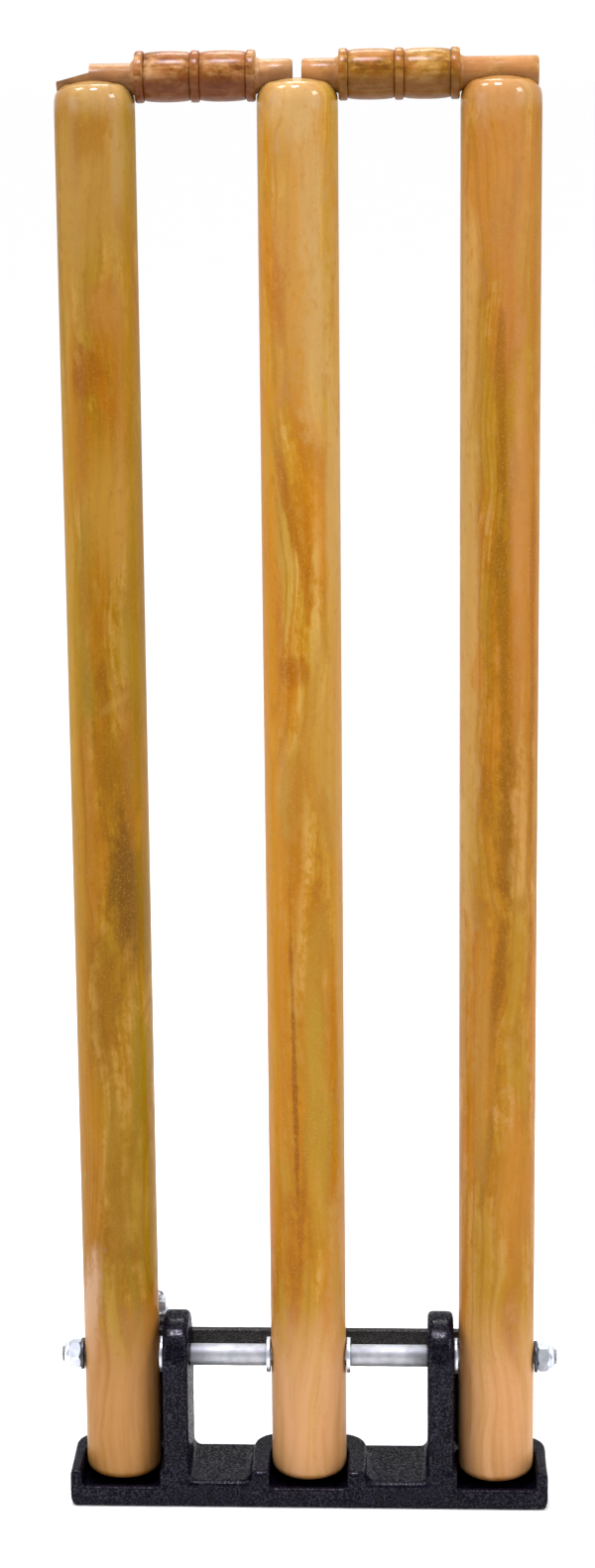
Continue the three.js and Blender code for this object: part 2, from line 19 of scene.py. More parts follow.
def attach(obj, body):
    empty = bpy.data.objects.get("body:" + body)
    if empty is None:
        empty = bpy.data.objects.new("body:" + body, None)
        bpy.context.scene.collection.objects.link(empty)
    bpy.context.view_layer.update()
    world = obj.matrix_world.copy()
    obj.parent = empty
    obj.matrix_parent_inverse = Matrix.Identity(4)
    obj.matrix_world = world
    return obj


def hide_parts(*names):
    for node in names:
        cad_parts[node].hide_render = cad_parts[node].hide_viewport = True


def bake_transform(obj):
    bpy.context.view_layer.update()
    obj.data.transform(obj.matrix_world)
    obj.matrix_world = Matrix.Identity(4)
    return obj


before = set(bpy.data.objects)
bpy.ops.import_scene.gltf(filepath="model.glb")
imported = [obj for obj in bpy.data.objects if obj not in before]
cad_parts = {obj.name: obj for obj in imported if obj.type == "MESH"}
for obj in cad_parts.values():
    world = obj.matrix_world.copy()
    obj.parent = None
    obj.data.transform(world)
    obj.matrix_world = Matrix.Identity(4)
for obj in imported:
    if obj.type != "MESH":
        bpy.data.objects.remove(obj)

mm = 0.001
scene = bpy.context.scene
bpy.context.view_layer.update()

# %% [markdown]
# ## The camera
#
# The angles, the lens and the place come from fitting a pinhole camera to the straight edges of the
# stumps and to the base. The camera stands about a metre and a half in front of the wicket at the
# height of the crowns, and looks down a little. The picture is taller than it is wide, so Blender
# measures the lens along its height.

# %% Camera
photo_height = 1582
focal_pixels = 3295
principal_offset = -70
pitch = math.radians(12.74)
yaw = math.radians(3.19)
roll = math.radians(0.82)
camera_place = Vector((50.0, -1560.6, 725.4)) * mm

bpy.ops.object.camera_add()
camera = bpy.context.object
camera.name = "photographer"
camera.data.sensor_width = 36
camera.data.lens = focal_pixels * camera.data.sensor_width / photo_height
camera.data.shift_x = -principal_offset / photo_height
aim = Matrix.Rotation(yaw, 4, "Z") @ Matrix.Rotation(math.pi / 2 - pitch, 4, "X")
camera.matrix_world = Matrix.Translation(camera_place) @ aim @ Matrix.Rotation(-roll, 4, "Z")
scene.camera = camera
print(f"lens {camera.data.lens:.1f} mm, shift {camera.data.shift_x:.4f}")

# %% [markdown]
# ## Sizes that the pieces share
#
# These repeat the sizes of the solid model, in metres, so that each finer piece sits where its solid
# does. The wicket's own frame has Z up from the ground, X along the wicket and Y towards the springs.

# %% Shared sizes
stump_radius = 19.05 * mm
stump_spacing = 95.25 * mm
wicket_height = 711 * mm
bail_height = 711.5 * mm
axle_height = 73.3 * mm
axle_radius = 4 * mm
bore_radius = 4.3 * mm
screw_eye_offset = 8 * mm
screw_eye_height = 30 * mm
stump_places = {"left": -stump_spacing, "middle": 0.0, "right": stump_spacing}
quarter = math.pi / 2
print("stumps stand at", stump_places)

# %% [markdown]
# ## Helpers for modelling
#
# An operator works on all that is selected, so these helpers first lay everything aside. `turned` is
# a lathe: it starts from one ring of points, extrudes that ring along the axis and scales it, station
# by station, as a turner's template would. An outline is a list of (radius, place) pairs in metres.


# %% Helpers: select, settle, copy
def lay_aside():
    """Deselects every object, so that the next tool changes nothing by accident."""
    bpy.ops.object.select_all(action="DESELECT")


def take(piece):
    """Selects this piece alone and makes it the active one."""
    lay_aside()
    piece.select_set(True)
    bpy.context.view_layer.objects.active = piece


def settle(piece, name=None):
    """Puts the piece's place and turn into its mesh, and names it."""
    take(piece)
    bpy.ops.object.transform_apply(location=True, rotation=True, scale=True)
    if name:
        piece.name = name
        piece.data.name = name
    return piece


def moved(piece, place=(0, 0, 0), turn=(0, 0, 0)):
    """Turns the piece about the origin, then moves it, and settles it there."""
    piece.rotation_euler = turn
    piece.location = place
    return settle(piece)


def copied(piece, name, place=(0, 0, 0), turn=(0, 0, 0)):
    """A copy with a mesh of its own, turned and moved."""
    take(piece)
    bpy.ops.object.duplicate()
    copy = bpy.context.object
    copy.name = name
    copy.data.name = name
    return moved(copy, place, turn)


def modify(piece, kind, **settings):
    """Adds a modifier and applies it."""
    take(piece)
    modifier = piece.modifiers.new(kind, kind)
    for key, value in settings.items():
        setattr(modifier, key, value)
    bpy.ops.object.modifier_apply(modifier=modifier.name)
    return piece


def combined(piece, tool, way):
    """Joins, cuts or meets two solids, and throws the second away."""
    modify(piece, "BOOLEAN", operation=way, solver="EXACT", object=tool)
    bpy.data.objects.remove(tool)
    return piece


def smoothed(piece, degrees=35):
    """Smooth shading that keeps every edge sharper than this angle."""
    take(piece)
    bpy.ops.object.shade_smooth_by_angle(angle=math.radians(degrees))
    return piece


def count_of(piece):
    """How many triangles the piece's faces make."""
    return sum(len(face.vertices) - 2 for face in piece.data.polygons)


# %% Helpers: the lathe
def arc(centre, reach, start, end, steps):
    """Points on a quarter or half ellipse; centre and reach are (radius, place) pairs."""
    angles = [start + (end - start) * i / steps for i in range(steps + 1)]
    return [(centre[0] + reach[0] * math.cos(a), centre[1] + reach[1] * math.sin(a)) for a in angles]


def turned(name, outline, sides=48, bored=False):
    """A piece turned about the Z axis. A bored outline runs round a ring's wall and back to its start."""
    lay_aside()
    radius, place = outline[0]
    bpy.ops.mesh.primitive_circle_add(vertices=sides, radius=radius, location=(0, 0, place))
    piece = settle(bpy.context.object, name)
    bpy.ops.object.mode_set(mode="EDIT")
    bpy.ops.mesh.select_all(action="SELECT")
    stations = outline[1:] + outline[:1] if bored else outline[1:]
    for next_radius, next_place in stations:
        step = (0, 0, next_place - place)
        bpy.ops.mesh.extrude_region_move(TRANSFORM_OT_translate={"value": step})
        share = next_radius / radius
        bpy.ops.transform.resize(value=(share, share, 1), center_override=(0, 0, next_place))
        radius, place = next_radius, next_place
    bpy.ops.mesh.select_all(action="SELECT")
    bpy.ops.mesh.remove_doubles(threshold=0.001 * mm)
    if not bored:
        bpy.ops.mesh.fill_holes(sides=0)
    bpy.ops.mesh.select_all(action="SELECT")
    bpy.ops.mesh.normals_make_consistent(inside=False)
    bpy.ops.object.mode_set(mode="OBJECT")
    return piece


def rod(name, radius, start, end, sides=48, chamfer=0.0):
    """A plain round rod along Z, with a small chamfer at both ends if one is asked for."""
    outline = [(radius, start), (radius, end)]
    if chamfer:
        low = (radius - chamfer, start)
        high = (radius - chamfer, end)
        outline = [low, (radius, start + chamfer), (radius, end - chamfer), high]
    return turned(name, outline, sides)


def cut_thread(piece, start, end, pitch_length, depth):
    """Sinks a screw thread between two places: each point goes in by its turn on the helix."""
    for vertex in piece.data.vertices:
        x, y, z = vertex.co
        radius = math.hypot(x, y)
        on_side = radius >= depth * 3
        if not on_side or not start <= z <= end:
            continue
        phase = (z / pitch_length - math.atan2(y, x) / math.tau) % 1
        share = 1 - depth * (1 - abs(2 * phase - 1)) / radius
        vertex.co = (x * share, y * share, z)
    return piece


def along_x(piece):
    """Lays a piece that was made along Z down along X."""
    return moved(piece, turn=(0, math.pi / 2, 0))


# %% [markdown]
# ## Helpers for finishes
#
# Every finish is a small tree of nodes. To keep the trees readable, a `Wire` stands for a node's
# output and takes part in ordinary sums, and `Nodes.node` adds any other node. All patterns read
# Object coordinates, which are the wicket's own metres, so a grain keeps its size on every piece.


# %% Helpers: Wire and Nodes
class Wire:
    """An output of a node. A sum on it adds a Math node."""

    def __init__(self, nodes, socket):
        self.nodes = nodes
        self.socket = socket

    def __add__(self, other):
        return self.nodes.maths("ADD", self, other)

    def __sub__(self, other):
        return self.nodes.maths("SUBTRACT", self, other)

    def __rsub__(self, other):
        return self.nodes.maths("SUBTRACT", other, self)

    def __mul__(self, other):
        return self.nodes.maths("MULTIPLY", self, other)

    __radd__ = __add__
    __rmul__ = __mul__


class Nodes:
    """A tree of nodes in the making, of a material or of the room."""

    def __init__(self, tree):
        self.tree = tree

    def feed(self, socket, value):
        """Links a wire to the socket, or sets the socket's own value."""
        if isinstance(value, Wire):
            self.tree.links.new(value.socket, socket)
        else:
            socket.default_value = value

    def node(self, kind, inputs, output=None, stops=None, **settings):
        """Adds a node: its settings first, then its sockets. Gives the named output, or the first."""
        made = self.tree.nodes.new("ShaderNode" + kind)
        for key, value in settings.items():
            setattr(made, key, value)
        if stops:
            ramp = made.color_ramp
            while len(ramp.elements) < len(stops):
                ramp.elements.new(1.0)
            for element, (place, tone) in zip(ramp.elements, stops):
                element.position = place
                element.color = (*tone, 1)
        for key, value in inputs.items():
            if isinstance(key, int):
                self.feed(made.inputs[key], value)
            else:
                self.feed([s for s in made.inputs if s.enabled and s.name == key][0], value)
        shown = [s for s in made.outputs if s.enabled and output in (None, s.name)]
        return Wire(self, shown[0])

    def maths(self, operation, *values):
        return self.node("Math", dict(enumerate(values)), operation=operation)


# %% Helpers: Finish
class Finish(Nodes):
    """A material in the making, with its shader's fixed values set on the shader itself."""

    def __init__(self, name, **fixed):
        self.material = bpy.data.materials.new(name)
        self.material.use_nodes = True
        super().__init__(self.material.node_tree)
        self.shader = self.tree.nodes["Principled BSDF"]
        for key, value in fixed.items():
            self.shader.inputs[key.replace("_", " ")].default_value = value

    def place(self):
        """Where a point lies on the wicket, in metres."""
        return self.node("TexCoord", {}, output="Object")

    def laid(self, vector, location=(0, 0, 0), scale=(1, 1, 1)):
        """A pattern's own coordinates: moved and stretched."""
        return self.node("Mapping", {"Vector": vector, "Location": location, "Scale": scale})

    def noise(self, vector, scale=1.0, detail=2.0, roughness=0.5):
        sockets = {"Vector": vector, "Scale": scale, "Detail": detail, "Roughness": roughness}
        return self.node("TexNoise", sockets)

    def between(self, value, low, high):
        """0 at low, 1 at high, and a smooth step between."""
        ends = {"Value": value, "From Min": low, "From Max": high, "To Min": 0.0, "To Max": 1.0}
        return self.node("MapRange", ends, interpolation_type="SMOOTHSTEP")

    def ramp(self, value, *stops):
        """Colours in steps along a value; a stop is a (place, colour) pair."""
        return self.node("ValToRGB", {0: value}, stops=stops)

    def mix(self, share, first, second):
        """Blends two colours."""
        colours = [(*c, 1) if isinstance(c, tuple) else c for c in (first, second)]
        sockets = {"Factor": share, "A": colours[0], "B": colours[1]}
        return self.node("Mix", sockets, data_type="RGBA")

    def bump(self, height, distance, strength):
        return self.node("Bump", {"Height": height, "Distance": distance, "Strength": strength})

    def wear(self, **sockets):
        """Links what varies over the surface to the shader, and gives the finished material."""
        for key, value in sockets.items():
            self.feed(self.shader.inputs[key.replace("_", " ")], value)
        return self.material


def dress(piece, *materials):
    """Gives the piece its finishes, in place of any it has."""
    piece.data.materials.clear()
    for material in materials:
        piece.data.materials.append(material)
    return piece


# %% [markdown]
# ## Varnished timber
#
# A stump is turned from one long billet, so its figure runs up and down: broad soft bands of paler
# and darker wood, fine fibres in them, and here and there the edge of a growth ring. The finish makes
# each from noise that is stretched along the stump. What makes one billet differ from the next are
# its own marks, such as a brown stain, a pointed flame of darker wood or a streak, so each of those is
# laid on as a soft patch at its place. A thin clear coat lies over it all as the varnish.


# %% Finish: colours and marks of the timber
lamp_share = 0.67
glaze = (0.013, 0.013, 0.022)
mark_depth = 10
mark_edge = 1.25
mark_core = 0.35


def seen(red, green, blue):
    """A colour as a picture shows it, from 0 to 255, in the linear light of a shader."""
    shares = [value / 255 for value in (red, green, blue)]
    return tuple(s / 12.92 if s <= 0.04045 else ((s + 0.055) / 1.055) ** 2.4 for s in shares)


def shaded(red, green, blue):
    """The paint that looks like the seen colour here: lamps brighten it, and varnish adds a glaze."""
    return tuple(max(v - g, 0.0) * lamp_share for v, g in zip(seen(red, green, blue), glaze))


def mark(finish, place, ragged, colour, tint, strength, across, height, reach, lean=0.0):
    """Lays a soft patch on the timber, right through it. Millimetres, and the lean in degrees."""
    spot = {
        "Vector": place, "Location": (across * mm, 0, height * mm),
        "Rotation": (0, math.radians(lean), 0), "Scale": (reach[0] * mm, mark_depth, reach[1] * mm),
    }
    inside = finish.node("Mapping", spot, vector_type="TEXTURE")
    distance = finish.node("VectorMath", {0: inside}, operation="LENGTH")
    cover = finish.between(distance + ragged, mark_edge, mark_core)
    return finish.mix(cover * strength, colour, tint)


# %% Finish: stump timber
foot_edges = (118 * mm, 62 * mm)
rim_shade_edges = (16.5 * mm, 13.5 * mm)
crown_edges = (694 * mm, 701 * mm)


def timber(name, centre, billet_place, dark, middle, pale, warm, cool, foot_tint, cloudiness, marks):
    """One stump's finish. The billet's place picks its own stretch of the endless noise."""
    finish = Finish(name, Roughness=0.5, Specular_IOR_Level=0.02, Coat_Roughness=0.1, Coat_IOR=1.42)
    place = finish.laid(finish.place(), location=(-centre, 0, 0))
    billet = finish.laid(place, location=billet_place)
    # The grain wanders a little to the side on its way up, and every long pattern follows it.
    wander = finish.noise(finish.laid(billet, scale=(14, 14, 7)))
    drift = finish.node("CombineXYZ", {"X": wander * 0.05})
    drifted = finish.node("VectorMath", {0: billet, 1: drift}, operation="ADD")
    bands = finish.noise(finish.laid(drifted, scale=(75, 75, 4)))
    streaks = finish.noise(finish.laid(drifted, scale=(260, 260, 9)))
    fibres = finish.noise(finish.laid(drifted, scale=(800, 800, 40)))
    specks = finish.noise(place, scale=900.0, roughness=0.7)
    clouds = finish.noise(finish.laid(drifted, scale=(75, 75, 34)), detail=3.0, roughness=0.6)
    mottle = finish.noise(finish.laid(billet, scale=(260, 260, 170)), detail=3.0, roughness=0.7)
    # All of these together give the tone, and slow changes of hue lie over it.
    tone = bands * 0.7 + streaks * 0.4 + fibres * 0.2 + specks * 0.35 + mottle * 0.55 + clouds * cloudiness
    colour = finish.ramp(tone - (0.6 + cloudiness * 0.5), (0.33, dark), (0.5, middle), (0.67, pale))
    hue = finish.noise(finish.laid(drifted, scale=(52, 52, 9)))
    colour = finish.mix(finish.between(hue, 0.5, 0.62) * 0.65, colour, warm)
    colour = finish.mix(finish.between(hue, 0.5, 0.4) * 0.55, colour, cool)
    # Edges of growth rings are the lines of equal height in a long drawn noise.
    contours = finish.noise(finish.laid(drifted, scale=(30, 30, 1.6)), detail=0.0)
    edges = finish.between(finish.maths("SINE", contours * 95.0 + mottle * 2.0), 0.3, 1.0)
    colour = finish.mix(edges * 0.4, colour, dark)
    # The marks, the pale foot and the painted shade along the rim at its end all have the same ragged
    # outline.
    ragged = (clouds - 0.5) * 1.6 + (streaks - 0.5) * 0.8 + (mottle - 0.5) * 0.8
    for tint, strength, *where in marks:
        colour = mark(finish, place, ragged, colour, shaded(*tint), strength, *where)
    height = finish.node("SeparateXYZ", {0: place}, output="Z")
    foot = finish.between(height + ragged * (30 * mm), *foot_edges)
    colour = finish.mix(foot * (streaks * 1.1 + 0.2), colour, foot_tint)
    # Painted shade: a dark reddish line along the bottom rim of the foot.
    rim_shade = finish.between(height + ragged * (1.5 * mm), *rim_shade_edges)
    colour = finish.mix(rim_shade * 0.6, colour, shaded(150, 88, 40))
    # Fine pores come last, and the varnish is thickest on the crown.
    grained = finish.mix(finish.between(mottle, 0.5, 0.7) * (0.26 - foot * 0.2), colour, dark)
    grained = finish.mix(finish.between(specks, 0.5, 0.3) * 0.35, grained, pale)
    crown = finish.between(height, *crown_edges)
    return finish.wear(
        Base_Color=grained, Coat_Weight=crown * 0.6 + 0.22, Normal=finish.bump(fibres, 0.02 * mm, 0.4)
    )


# %% Finish: the three billets
# Each mark has its colour as it is seen, how strongly it covers, its place across and up, its reach
# across and up, and perhaps a lean.
left_marks = [
    # This mark over the crown is partly paler wood and partly a painted highlight.
    ((212, 178, 130), 0.5, 2, 706, (20, 11)),
    ((188, 142, 84), 0.5, -2, 668, (20, 50)),
    ((160, 104, 44), 0.55, -1, 684, (9, 13)),
    ((186, 152, 96), 0.55, 12, 676, (4, 24)),
    ((186, 142, 78), 0.5, -13, 640, (4, 60)),
    ((176, 118, 66), 0.5, 3, 606, (12, 16)),
    ((154, 90, 24), 0.8, -5, 578, (8, 14), 14),
    ((170, 104, 34), 0.65, 4, 562, (12, 4), 66),
    ((190, 150, 74), 0.5, 4, 510, (13, 34)),
    ((166, 112, 26), 0.55, -6, 470, (7, 30)),
    ((192, 148, 74), 0.4, 5, 416, (3, 10), 52),
    ((150, 102, 18), 0.6, 4, 388, (10, 26)),
    ((118, 80, 8), 0.8, 9, 322, (9, 40), -4),
    ((146, 96, 14), 0.65, -3, 262, (8, 40)),
    ((152, 124, 40), 0.6, 13, 236, (5, 46)),
    ((182, 128, 40), 0.5, -10, 205, (6, 22)),
    ((146, 98, 14), 0.65, 1, 145, (9, 36)),
    ((150, 120, 44), 0.6, 8, 112, (2.4, 30), -6),
    ((190, 144, 56), 0.6, -16, 400, (4.5, 240)),
    ((166, 130, 56), 0.55, 16, 470, (4.5, 220)),
    ((216, 178, 146), 0.8, -16, 96, (6, 36), 8),
]
middle_marks = [
    # This mark over the crown is partly paler wood and partly a painted highlight.
    ((222, 190, 140), 0.5, -3, 702, (20, 22)),
    ((202, 162, 102), 0.45, 2, 640, (20, 100)),
    ((206, 174, 118), 0.4, 6, 655, (7, 50)),
    ((180, 104, 32), 0.7, -13, 618, (6, 30), -8),
    ((210, 170, 108), 0.55, 8, 585, (8, 60)),
    ((204, 166, 112), 0.6, 15, 520, (4, 60)),
    ((170, 102, 34), 0.75, -7, 518, (3, 54), -12),
    ((176, 106, 38), 0.55, 2, 494, (5, 34), -4),
    ((188, 112, 28), 0.7, -13, 470, (4, 60), -8),
    ((170, 100, 26), 0.75, -5, 432, (8, 9), -35),
    ((200, 146, 70), 0.5, 9, 400, (6, 40), 8),
    ((178, 112, 22), 0.6, -2, 372, (6, 46), 5),
    ((220, 154, 66), 0.7, -16, 420, (6, 330)),
    ((212, 168, 96), 0.6, 16.5, 430, (4.5, 260)),
    ((204, 132, 46), 0.5, -10, 262, (4, 110)),
    ((150, 90, 14), 0.8, -5, 222, (1.3, 84), -1),
    ((166, 104, 20), 0.7, -1, 168, (1.8, 50), 3),
    ((186, 150, 60), 0.6, 7, 214, (7, 86)),
    ((206, 158, 92), 0.55, 15, 130, (4, 50)),
    ((152, 96, 30), 0.6, 15, 60, (1.3, 26)),
]
right_marks = [
    # This mark over the crown is partly paler wood and partly a painted highlight.
    ((214, 172, 124), 0.45, 0, 705, (20, 13)),
    ((198, 142, 88), 0.5, 4, 655, (16, 60)),
    ((214, 174, 106), 0.7, -15.5, 460, (5, 240)),
    ((190, 122, 70), 0.55, 3, 600, (9, 40)),
    ((150, 98, 18), 0.75, 0, 555, (2.6, 60), -1),
    ((148, 98, 12), 0.8, 1, 455, (4.5, 74), -1),
    ((142, 92, 8), 0.8, 3.5, 352, (4.5, 52)),
    ((150, 96, 12), 0.75, 0, 276, (4, 52), 6),
    ((154, 102, 18), 0.75, -5, 190, (2.4, 48), 6),
    ((194, 148, 74), 0.5, -8, 240, (5, 70)),
    ((182, 120, 54), 0.6, 15, 470, (5, 230)),
    ((200, 142, 86), 0.55, 9, 510, (5, 100)),
    ((160, 96, 34), 0.6, 15.5, 420, (1.3, 150)),
    ((166, 106, 34), 0.5, 8, 330, (1.2, 60), 2),
    ((198, 136, 62), 0.5, 9, 160, (8, 60)),
]
stump_finishes = {
    "left": timber(
        "stump_varnish_left", stump_places["left"], (0.3, 0.1, 0.2),
        dark=shaded(146, 96, 14), middle=shaded(168, 120, 32), pale=shaded(192, 148, 74),
        warm=shaded(176, 112, 30), cool=shaded(160, 128, 46),
        foot_tint=shaded(202, 148, 98), cloudiness=0.7, marks=left_marks,
    ),
    "middle": timber(
        "stump_varnish_middle", stump_places["middle"], (0.7, 0.5, 0.0),
        dark=shaded(172, 108, 20), middle=shaded(196, 138, 46), pale=shaded(216, 170, 92),
        warm=shaded(200, 126, 40), cool=shaded(192, 154, 66),
        foot_tint=shaded(230, 174, 128), cloudiness=0.5, marks=middle_marks,
    ),
    "right": timber(
        "stump_varnish_right", stump_places["right"], (1.3, 0.9, 0.4),
        dark=shaded(160, 102, 18), middle=shaded(184, 126, 42), pale=shaded(204, 154, 88),
        warm=shaded(196, 124, 48), cool=shaded(182, 142, 54),
        foot_tint=shaded(228, 172, 124), cloudiness=0.5, marks=right_marks,
    ),
}
print("stump finishes:", ", ".join(m.name for m in stump_finishes.values()))

# %% [markdown]
# ## The other finishes
#
# The bails are a redder wood, turned with the grain along them, with shade painted darker into the hollows
# beside each bead and along the underside. The casting wears a thick gloss paint over rough sand-cast
# iron:
# the paint itself is nearly black, its colour is painted darker in the pits and paler on the grains as
# shade and light, and its grain breaks every highlight into sparkles. The stop bar has the same paint,
# made lighter grey as painted light. The fittings are zinc plated.


# %% Finish: bail timber
bail_hollows = (23.7 * mm, 45.4 * mm, 49.8 * mm, 71.5 * mm)
barrel_start = 19.4 * mm
barrel_end = 75.85 * mm


def bail_timber(name, shift, dark, middle, pale, blush, underside_shade_tint, spigot_tint):
    """One bail's finish. The shift picks its own stretch of the endless noise."""
    finish = Finish(
        name, Roughness=0.5, Specular_IOR_Level=0.05, Coat_Weight=0.3, Coat_Roughness=0.2, Coat_IOR=1.45
    )
    place = finish.place()
    billet = finish.laid(place, location=shift)
    fibres = finish.noise(finish.laid(billet, scale=(45, 700, 700)), detail=3.0, roughness=0.6)
    mottle = finish.noise(finish.laid(billet, scale=(200, 320, 320)), detail=4.0, roughness=0.7)
    clouds = finish.noise(finish.laid(billet, scale=(60, 110, 110)))
    tone = clouds * 0.8 + mottle * 0.9 + fibres * 0.4 - 0.55
    colour = finish.ramp(tone, (0.32, dark), (0.5, middle), (0.68, pale))
    redness = finish.noise(finish.laid(billet, scale=(70, 110, 110)))
    colour = finish.mix(finish.between(redness, 0.45, 0.6) * 0.6, colour, blush)
    # The hollow on each side of a bead is painted darker as shade, the spigots are paler, and the
    # underside is painted darker as shade.
    along = finish.maths("ABSOLUTE", finish.node("SeparateXYZ", {0: place}, output="X"))
    # Painted shade: the hollow on each side of a bead is coloured a little darker.
    for hollow in bail_hollows:
        gap = finish.maths("ABSOLUTE", along - hollow) + (mottle - 0.5) * (1.2 * mm)
        colour = finish.mix(finish.between(gap, 3.0 * mm, 0.5 * mm) * 0.2, colour, shaded(122, 66, 30))
    inner_end = finish.between(along, barrel_start - 0.4 * mm, barrel_start + 0.6 * mm)
    outer_end = finish.between(along, barrel_end + 0.55 * mm, barrel_end - 0.45 * mm)
    barrel = inner_end * outer_end
    # Painted shade: below the bail's axis the colour is darkened, more on the barrel than on the spigots.
    rise = finish.node("SeparateXYZ", {0: place}, output="Z") - bail_height + (clouds - 0.5) * (9.0 * mm)
    underside_shade = finish.between(rise, 6.0 * mm, -3.5 * mm)
    colour = finish.mix((1 - barrel) * 0.4, colour, spigot_tint)
    colour = finish.mix(underside_shade * (barrel * 0.35 + 0.45), colour, underside_shade_tint)
    return finish.wear(Base_Color=colour, Normal=finish.bump(fibres, 0.03 * mm, 0.4))


bail_finishes = {
    "left": bail_timber(
        "bail_varnish_left", (0.2, 0.6, 0.1),
        dark=shaded(112, 64, 30), middle=shaded(162, 110, 64), pale=shaded(200, 154, 108),
        blush=shaded(162, 96, 56), underside_shade_tint=shaded(102, 54, 22), spigot_tint=shaded(216, 170, 120),
    ),
    "right": bail_timber(
        "bail_varnish_right", (0.9, 0.1, 0.5),
        dark=shaded(120, 76, 24), middle=shaded(164, 118, 52), pale=shaded(200, 154, 94),
        blush=shaded(172, 104, 54), underside_shade_tint=shaded(112, 70, 16), spigot_tint=shaded(210, 154, 108),
    ),
}
print("bail finishes:", ", ".join(m.name for m in bail_finishes.values()))


# %% Finish: cast-iron paint
paint_grain = 1100.0
paint_swell = 230.0


def cast_paint(name, low, high):
    """Thick paint over sand-cast iron, with painted shade in its pits and painted light on its grains,
    which catch the light.
    """
    finish = Finish(name, Specular_IOR_Level=0.0, Coat_Roughness=0.22, Coat_IOR=1.5)
    place = finish.place()
    grit = finish.noise(place, scale=paint_grain, roughness=0.65)
    swell = finish.noise(place, scale=paint_swell)
    grain = swell * 0.3 + grit * 0.7
    # Painted shade and light: the colour follows the grain that also raises the bump.
    colour = finish.ramp(grain, (0.38, low), (0.67, high))
    glints = finish.between(finish.noise(place, scale=paint_grain, detail=1.0), 0.5, 0.62)
    roughness = finish.between(grit, 0.3, 0.75) * 0.2 + 0.3
    return finish.wear(
        Base_Color=colour, Roughness=roughness, Coat_Weight=glints * 0.4 + 0.12,
        Normal=finish.bump(grit * 1.3 + swell, 1.0 * mm, 1.0),
    )


cast_iron = cast_paint("cast_iron_paint", low=(0.0002, 0.0002, 0.0012), high=(0.01, 0.0085, 0.019))
# Painted light: the stop bar wears the same paint made lighter grey.
lit_bar_iron = cast_paint("cast_iron_paint_lit", low=(0.014, 0.014, 0.013), high=(0.06, 0.06, 0.056))
print("cast paints:", cast_iron.name, lit_bar_iron.name)


# %% Finish: zinc plate, dark steel, spring steel, lock-nut insert
def metal(name, pale, dull, roughness, brushed, depth=0.02 * mm):
    """A plated or bare metal. Brushed gives how tightly its pattern is packed along X, Y and Z."""
    finish = Finish(name, Metallic=1.0)
    place = finish.place()
    strokes = finish.noise(finish.laid(place, scale=brushed))
    bloom = finish.noise(place, scale=160.0, detail=3.0)
    colour = finish.mix(finish.between(bloom, 0.35, 0.7), pale, dull)
    rough = strokes * 0.16 + bloom * 0.12 + (roughness - 0.14)
    return finish.wear(Base_Color=colour, Roughness=rough, Normal=finish.bump(strokes, depth, 0.5))


zinc = metal("zinc_plate", (0.47, 0.485, 0.51), (0.36, 0.375, 0.395), 0.56, (60, 1800, 1800))
zinc_turned = metal(
    "zinc_plate_turned", (0.70, 0.74, 0.80), (0.50, 0.54, 0.60), 0.34, (500, 500, 500), depth=0.01 * mm
)
dark_steel = metal("dark_steel", (0.10, 0.10, 0.105), (0.045, 0.045, 0.05), 0.42, (700, 700, 700))
spring_steel = metal("spring_steel", (0.50, 0.51, 0.53), (0.34, 0.35, 0.36), 0.3, (900, 900, 900))


def nylon():
    """The dull insert that grips the thread in a lock nut."""
    finish = Finish("nut_insert_nylon", Roughness=0.45, Subsurface_Weight=0.1)
    tint = finish.between(finish.noise(finish.place(), scale=700.0), 0.3, 0.7)
    return finish.wear(Base_Color=finish.mix(tint, (0.05, 0.055, 0.065), (0.09, 0.10, 0.115)))


nut_insert = nylon()
print("metals:", zinc.name, zinc_turned.name, dark_steel.name, spring_steel.name, nut_insert.name)

# %% [markdown]
# ## The stumps
#
# A stump is 38 mm thick and 711 mm high, with a rounded foot and a crown that falls away in a soft
# shoulder. It could be a scaled cylinder with a bevel, but the crown's curve isn't a plain bevel, so
# it goes on the lathe with its true outline. Three cutters then sink the groove for the bails, bore
# the hole for the axle and drill the one that the screw eye goes into.

# %% Stumps
groove_radius = 7.9 * mm
pilot_radius = 1.8 * mm
pilot_end = 5 * mm
cutter_reach = 30 * mm
shaft_stations = (40, 64, 83, 110, 160, 220, 290, 360, 430, 500, 570, 640, 680)


